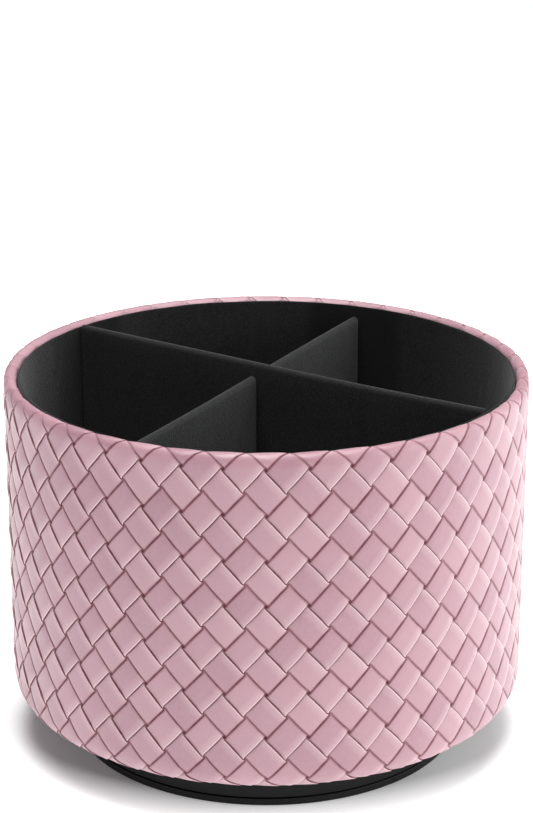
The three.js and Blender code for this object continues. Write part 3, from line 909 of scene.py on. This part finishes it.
def add_housing(finish):
    """The turntable's upper half: a low round dish, open below, with the balls' upper race."""
    ceiling = HOUSING_TOP - HOUSING_WALL
    inner_r = HOUSING_R - HOUSING_WALL
    outline = rounded([
        (BOLT_HOLE_R, HUB_MEET_HIGH, 0.2), (HUB_R, HUB_MEET_HIGH, 0.4), (HUB_R, ceiling, 0.8),
        (RAIL_INNER, ceiling, 0.6), (RAIL_INNER, UPPER_RAIL_Z, 0.3),
        (GROOVE_INNER, UPPER_RAIL_Z, 0), *groove(151, 29), (GROOVE_OUTER, UPPER_RAIL_Z, 0),
        (RAIL_OUTER, UPPER_RAIL_Z, 0.3), (RAIL_OUTER, ceiling, 0.6),
        (inner_r, ceiling, 0.8), (inner_r, HOUSING_BOTTOM, 0.15),
        (HOUSING_R, HOUSING_BOTTOM, 0.3), (HOUSING_R, HOUSING_TOP, 1.5),
        (NUT_POCKET_R, HOUSING_TOP, 0.3), (NUT_POCKET_R, NUT_POCKET_Z, 0.3),
        (BOLT_HOLE_R, NUT_POCKET_Z, 0.2),
    ])
    points, faces = revolve(outline, TURNTABLE_SIDES)
    piece = add_piece("turntable_upper_half", points, faces, "tub", finish, "black_plastic")
    subtract(piece, [drill(place, SCREW_HOLE_R, ceiling - 2, HOUSING_TOP + 2)
                     for place in screw_places()])
    tidy_mesh(piece.data)
    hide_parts("turntable_housing")


def screw_places():
    return [place_of(f"housing_screw_{n}") for n in range(1, 5)]


def drill(place, radius, bottom, top):
    """A closed round cutter, upright at a place."""
    outline = [(0, bottom), (radius, bottom), (radius, top), (0, top)]
    points, faces = revolve(outline, DRILL_SIDES)
    moved = [(x + place.x, y + place.y, z) for x, y, z in points]
    return closed_object("drill", moved, faces)


def add_base_plate(finish):
    """The turntable's lower half: a flat plate with a raised race, pockets for the feet and a
    hole that lines up with each housing screw in turn."""
    rim, seam = PLATE_BOTTOM, HOUSING_BOTTOM - SEAM_GAP
    outline = rounded([
        (HEAD_POCKET_R, HEAD_POCKET_Z, 0.2), (HEAD_POCKET_R, rim, 0.25), (HUB_R, rim, 0.3),
        (HUB_R + 0.6, PLATE_FIELD, 0.3), (PLATE_R - 5, PLATE_FIELD, 0.3),
        (PLATE_R - 4.6, rim, 0.3), (PLATE_R, rim, 0.35), (PLATE_R, seam, 0.25),
        (RAIL_OUTER, seam, 0.4), (RAIL_OUTER, LOWER_RAIL_Z, 0.3), (GROOVE_OUTER, LOWER_RAIL_Z, 0),
        *groove(-29, -151), (GROOVE_INNER, LOWER_RAIL_Z, 0), (RAIL_INNER, LOWER_RAIL_Z, 0.3),
        (RAIL_INNER, seam, 0.4), (HUB_R, seam, 0.6), (HUB_R, HUB_MEET_LOW, 0.3),
        (BOLT_HOLE_R, HUB_MEET_LOW, 0.2), (BOLT_HOLE_R, HEAD_POCKET_Z, 0.2),
    ])
    points, faces = revolve(outline, TURNTABLE_SIDES)
    piece = add_piece("turntable_lower_plate", points, faces, "base", finish, "black_plastic")
    feet = [place_of(f"foot_pad_{n}") for n in range(1, 5)]
    holes = [drill(place, FOOT_POCKET_R, -1, FOOT_POCKET_Z) for place in feet]
    holes.append(drill(screw_places()[0], DRIVER_HOLE_R, -1, seam + 1))
    subtract(piece, holes)
    tidy_mesh(piece.data)
    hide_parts("base_plate")


def add_feet(finish):
    """Four stuck-on foam-rubber discs with softened rims."""
    outline = rounded([(0, 0, 0), (FOOT_R, 0, 0.5), (FOOT_R, FOOT_THICK, 0.25),
                       (0, FOOT_THICK, 0)])
    for number in range(1, 5):
        centre = place_of(f"foot_pad_{number}")
        uneven = waves(seed=40 + number, count=6, turns=5, rise=0.3)

        def relief(angle, r, z):
            return r - 0.08 + uneven(angle, z) * 0.04, z

        points, faces = revolve(outline, SMALL_SIDES, relief)
        moved = [(x + centre.x, y + centre.y, z) for x, y, z in points]
        piece = add_piece(f"rubber_foot_{number}", moved, faces, "base", finish, "rubber")
        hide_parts(f"foot_pad_{number}")


def add_pivot_bolt(finish):
    """Low round-headed pivot bolt with a hexagon recess, its shank rising to the lock nut."""
    head_r, head_bottom, head_top = 4.6, 1.2, 3.6
    shank_r, shank_top = 2.5, 14.1
    outline = rounded([
        (0, head_bottom, 0), (head_r, head_bottom, 0.7), (head_r, head_top, 0.2),
        (shank_r, head_top, 0.2), (shank_r, shank_top, 0.4), (0, shank_top, 0),
    ])
    points, faces = revolve(outline, SMALL_SIDES)
    piece = add_piece("pivot_bolt_steel", points, faces, "base", finish, "steel")
    recess = bpy.data.meshes.new("hexagon")
    shape = bmesh.new()
    bmesh.ops.create_cone(shape, cap_ends=True, segments=6, radius1=1.9 * MM, radius2=1.7 * MM,
                          depth=3 * MM)
    shape.to_mesh(recess)
    shape.free()
    recess.transform(Matrix.Translation((0, 0, head_bottom * MM)))
    subtract(piece, [in_scene("hexagon", recess)])
    tidy_mesh(piece.data)
    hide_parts("pivot_bolt")


def add_underside_cover(finish):
    """The thin velvet-paper disc glued over the tub's underside, round the turntable."""
    outline = rounded([
        (0, COVER_BOTTOM, 0), (COVER_R, COVER_BOTTOM, 0.2), (COVER_R, COVER_TOP, 0.15),
        (0, COVER_TOP, 0),
    ])
    points, faces = revolve(outline, TURNTABLE_SIDES)
    piece = add_piece("underside_velvet_disc", points, faces, "tub", finish, "velvet")
    subtract(piece, [drill(place, SCREW_HOLE_R, COVER_BOTTOM - 1, COVER_TOP + 1)
                     for place in screw_places()])
    tidy_mesh(piece.data)
    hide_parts("underside_cover")


def paint_cad_nodes(finishes):
    """The inner pieces whose CAD shape is shown as it is."""
    by_name = {
        "ball_cage": "cage", "ball_": "steel", "pivot_washer": "steel", "lock_nut": "steel",
        "housing_screw_": "steel", "bottom_board": "board", "shell_tube": "board",
        "rim_cord": "foam",
    }
    for name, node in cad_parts.items():
        key = next((k for k in by_name if name.startswith(k)), None)
        if key is None:
            continue
        node.data.materials.clear()
        node.data.materials.append(finishes[by_name[key]])


# ------------------------------------------------------------------------- camera, light, floor

# The floor's glow rises between two distances from the axis, in metres, painting a shadow round the
# object
GLOW_START, GLOW_FULL = 0.0655, 0.086
FLOOR_GLOW = (0.08, 0.76)


def add_camera():
    """The product photograph's view: from the front, about 19 degrees above the horizon."""
    data = bpy.data.cameras.new("camera")
    data.lens = 96.8
    data.sensor_width = 36
    camera = in_scene("camera", data)
    camera.location = (0, -0.6737, 0.3403)
    aim = Vector((0, 0, 0.1112)) - camera.location
    camera.rotation_euler = aim.to_track_quat("-Z", "Y").to_euler()
    bpy.context.scene.camera = camera


def add_softbox(name, azimuth, elevation, size, power, color=(1, 1, 1)):
    """A rectangular light a metre from the tub's middle. Azimuth is counted from the front towards
    the right, in degrees."""
    data = bpy.data.lights.new(name, "AREA")
    data.shape = "RECTANGLE"
    data.size, data.size_y = size
    data.energy = power
    data.color = color
    light = in_scene(name, data)
    light.visible_camera = False
    side, up = math.radians(azimuth), math.radians(elevation)
    away = Vector((math.sin(side) * math.cos(up), -math.cos(side) * math.cos(up), math.sin(up)))
    light.location = Vector((0, 0, 0.07)) + away
    light.rotation_euler = (-away).to_track_quat("-Z", "Y").to_euler()


def add_studio():
    world = bpy.data.worlds.new("studio")
    bpy.context.scene.world = world
    world.use_nodes = True
    background = world.node_tree.nodes["Background"]
    background.inputs["Color"].default_value = (1, 1, 1, 1)
    background.inputs["Strength"].default_value = 0.13
    add_softbox("key_right", 62, 18, (0.25, 0.4), 3.7)
    add_softbox("side_right", 108, 12, (0.7, 0.9), 5.8, (0.96, 1.02, 1))
    add_softbox("fill_left", -72, 2, (0.5, 0.5), 1.2, (1, 0.84, 1.04))
    add_softbox("top_back", 165, 66, (0.9, 0.5), 5)
    add_softbox("top_front", -8, 79, (0.6, 0.6), 13)
    bpy.context.scene.view_settings.view_transform = "Standard"


def add_floor():
    """A white floor that glows, with a painted shadow: it glows less and is coloured darker near
    the object.
    """
    reach = 6.0
    corners = [(-reach, -reach, 0), (reach, -reach, 0), (reach, reach, 0), (-reach, reach, 0)]
    mesh = bpy.data.meshes.new("floor")
    mesh.from_pydata(corners, [], [(0, 1, 2, 3)])
    finish = Finish("white_studio_floor", Roughness=0.8, Emission_Color=(1, 1, 1, 1))
    tone = finish.span(finish.noise(3, 2), 0.3, 0.7, 0, 1)
    place = finish.node("ShaderNodeMapping", {"Vector": finish.place, "Location": (0, 0.003, 0),
                                              "Scale": (0.80, 1.25, 1)}).outputs["Vector"]
    away = finish.node("ShaderNodeVectorMath", {0: place}, operation="LENGTH").outputs["Value"]
    outside_painted_shadow = finish.span(away, GLOW_START, GLOW_FULL, 0, 1)
    clean = finish.mix(tone, (0.93, 0.93, 0.93), (0.95, 0.95, 0.95))
    # Painted shadow: near the object the floor is coloured darker and glows less
    color = finish.mix(outside_painted_shadow, (0.89, 0.90, 0.90), clean)
    glow = finish.span(outside_painted_shadow, 0, 1, *FLOOR_GLOW)
    finish.tree.links.new(glow, finish.shader.inputs["Emission Strength"])
    mesh.materials.append(finish.done(color))
    in_scene("floor", mesh)


# --------------------------------------------------------------------------------------- making

def build():
    velvet = velvet_finish("charcoal_velvet")
    finishes = {
        "board": board_finish(),
        "cage": cage_finish(),
        "steel": steel_finish(),
        "foam": foam_finish(),
    }
    plastic = plastic_finish()
    add_camera()
    add_studio()
    add_floor()
    add_leather(leather_finish())
    add_liner(velvet)
    add_floor_pad(velvet)
    add_dividers(velvet, finishes["board"])
    add_housing(plastic)
    add_base_plate(plastic)
    add_feet(rubber_finish())
    add_pivot_bolt(finishes["steel"])
    add_underside_cover(velvet_finish("flocked_paper", 2200, 0.3))
    paint_cad_nodes(finishes)


build()
